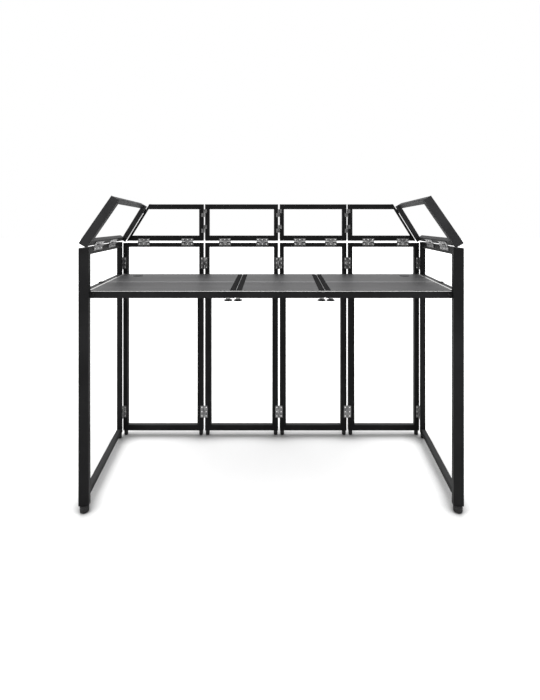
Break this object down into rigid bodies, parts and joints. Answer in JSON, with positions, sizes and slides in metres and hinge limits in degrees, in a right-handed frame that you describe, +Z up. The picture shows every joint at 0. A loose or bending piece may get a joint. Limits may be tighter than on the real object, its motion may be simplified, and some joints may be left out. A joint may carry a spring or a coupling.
{
  "type": "dj booth",
  "caption": "Folding booth of open black steel frames with hinged upper frames, swinging side frames and a lift-off sectional table",
  "frame": {"origin": "middle of the footprint, on the floor", "axes": "+X to the player's right, +Y towards the audience, +Z up"},
  "size_m": [1.5498, 0.6462, 1.1858],
  "materials": {
    "black_frame": "satin black powder coat on welded steel tube",
    "zinc": "bright zinc plate",
    "rubber_feet": "matt black rubber",
    "table_board": "grey satin laminate",
    "board_strip": "satin anodised",
    "black_plastic": "moulded black plastic",
    "dark_bolts": "black oxide steel"
  },
  "bodies": {
    "lower_front_1": {"lower_front_1_frame": "black_frame", "lower_front_1_hinges": "zinc", "lower_front_1_screws": "zinc", "lower_front_1_feet": "rubber_feet"},
    "lower_front_2": {"lower_front_2_frame": "black_frame", "lower_front_2_hinges": "zinc", "lower_front_2_screws": "zinc", "lower_front_2_feet": "rubber_feet"},
    "lower_front_3": {"lower_front_3_frame": "black_frame", "lower_front_3_hinges": "zinc", "lower_front_3_screws": "zinc", "lower_front_3_feet": "rubber_feet"},
    "lower_front_4": {"lower_front_4_frame": "black_frame", "lower_front_4_hinges": "zinc", "lower_front_4_screws": "zinc", "lower_front_4_feet": "rubber_feet"},
    "upper_front_1": {"upper_front_1_frame": "black_frame", "upper_front_1_hinges": "zinc", "upper_front_1_screws": "zinc"},
    "upper_front_2": {"upper_front_2_frame": "black_frame", "upper_front_2_hinges": "zinc", "upper_front_2_screws": "zinc"},
    "upper_front_3": {"upper_front_3_frame": "black_frame", "upper_front_3_hinges": "zinc", "upper_front_3_screws": "zinc"},
    "upper_front_4": {"upper_front_4_frame": "black_frame", "upper_front_4_hinges": "zinc", "upper_front_4_screws": "zinc"},
    "side_left": {"side_left_frame": "black_frame", "side_left_hinges": "zinc", "side_left_screws": "zinc", "side_left_feet": "rubber_feet", "side_left_plug": "black_plastic"},
    "side_right": {"side_right_frame": "black_frame", "side_right_hinges": "zinc", "side_right_screws": "zinc", "side_right_feet": "rubber_feet", "side_right_plug": "black_plastic"},
    "upper_side_left": {"upper_side_left_frame": "black_frame", "upper_side_left_hinges": "zinc", "upper_side_left_screws": "zinc"},
    "upper_side_right": {"upper_side_right_frame": "black_frame", "upper_side_right_hinges": "zinc", "upper_side_right_screws": "zinc"},
    "table": {"table_front_rail": "black_frame", "table_rail_bolts": "dark_bolts", "table_strips": "board_strip", "cable_grommets": "black_plastic", "table_frame_1": "black_frame", "table_boards_1": "table_board", "table_frame_2": "black_frame", "table_boards_2": "table_board", "table_frame_3": "black_frame", "table_boards_3": "table_board"},
    "clamp_knob_1": {"clamp_knob_1": "black_plastic"},
    "clamp_knob_2": {"clamp_knob_2": "black_plastic"},
    "clamp_knob_3": {"clamp_knob_3": "black_plastic"},
    "clamp_knob_4": {"clamp_knob_4": "black_plastic"}
  },
  "joints": [
    {"name": "seam_1_fold", "type": "hinge", "parent": "lower_front_2", "child": "lower_front_1", "pos_m": [-0.34134, 0.29613, 0.505], "axis": [0, 0, -1], "range_deg": [0, 15]},
    {"name": "seam_2_fold", "type": "hinge", "parent": "lower_front_2", "child": "lower_front_3", "pos_m": [0.03969, 0.29613, 0.505], "axis": [0, 0, 1], "range_deg": [0, 15]},
    {"name": "seam_3_fold", "type": "hinge", "parent": "lower_front_3", "child": "lower_front_4", "pos_m": [0.38857, 0.29613, 0.505], "axis": [0, 0, 1], "range_deg": [0, 15]},
    {"name": "side_left_swing", "type": "hinge", "parent": "lower_front_1", "child": "side_left", "pos_m": [-0.75171, 0.29413, 0.505], "axis": [0, 0, -1], "range_deg": [0, 20]},
    {"name": "side_right_swing", "type": "hinge", "parent": "lower_front_4", "child": "side_right", "pos_m": [0.75171, 0.29413, 0.505], "axis": [0, 0, 1], "range_deg": [0, 20]},
    {"name": "upper_front_1_fold", "type": "hinge", "parent": "lower_front_1", "child": "upper_front_1", "pos_m": [-0.54792, 0.29613, 0.986], "axis": [1, 0, 0], "range_deg": [0, 130]},
    {"name": "upper_front_2_fold", "type": "hinge", "parent": "lower_front_2", "child": "upper_front_2", "pos_m": [-0.15083, 0.29613, 0.986], "axis": [1, 0, 0], "range_deg": [0, 130]},
    {"name": "upper_front_3_fold", "type": "hinge", "parent": "lower_front_3", "child": "upper_front_3", "pos_m": [0.21413, 0.29613, 0.986], "axis": [1, 0, 0], "range_deg": [0, 130]},
    {"name": "upper_front_4_fold", "type": "hinge", "parent": "lower_front_4", "child": "upper_front_4", "pos_m": [0.57154, 0.29613, 0.986], "axis": [1, 0, 0], "range_deg": [0, 130]},
    {"name": "upper_side_left_tilt", "type": "hinge", "parent": "side_left", "child": "upper_side_left", "pos_m": [-0.72071, -0.02791, 0.9885], "axis": [0.0958, -0.9954, 0], "range_deg": [0, 31]},
    {"name": "upper_side_right_tilt", "type": "hinge", "parent": "side_right", "child": "upper_side_right", "pos_m": [0.72071, -0.02791, 0.9885], "axis": [0.0958, 0.9954, 0], "range_deg": [0, 31]},
    {"name": "table_lift", "type": "slide", "parent": "lower_front_2", "child": "table", "axis": [0, 0, 1], "range_m": [0, 0.03]},
    {"name": "clamp_knob_1_turn", "type": "hinge", "parent": "table", "child": "clamp_knob_1", "pos_m": [-0.16403, -0.26938, 0.784], "axis": [0, 0, 1], "continuous": true},
    {"name": "clamp_knob_2_turn", "type": "hinge", "parent": "table", "child": "clamp_knob_2", "pos_m": [-0.12654, -0.26938, 0.784], "axis": [0, 0, 1], "continuous": true},
    {"name": "clamp_knob_3_turn", "type": "hinge", "parent": "table", "child": "clamp_knob_3", "pos_m": [0.19298, -0.26938, 0.784], "axis": [0, 0, 1], "continuous": true},
    {"name": "clamp_knob_4_turn", "type": "hinge", "parent": "table", "child": "clamp_knob_4", "pos_m": [0.22748, -0.26938, 0.784], "axis": [0, 0, 1], "continuous": true}
  ],
  "couplings": [
    {"joint": "upper_front_2_fold", "follows": "upper_front_1_fold", "ratio": 1},
    {"joint": "upper_front_3_fold", "follows": "upper_front_1_fold", "ratio": 1},
    {"joint": "upper_front_4_fold", "follows": "upper_front_1_fold", "ratio": 1}
  ]
}
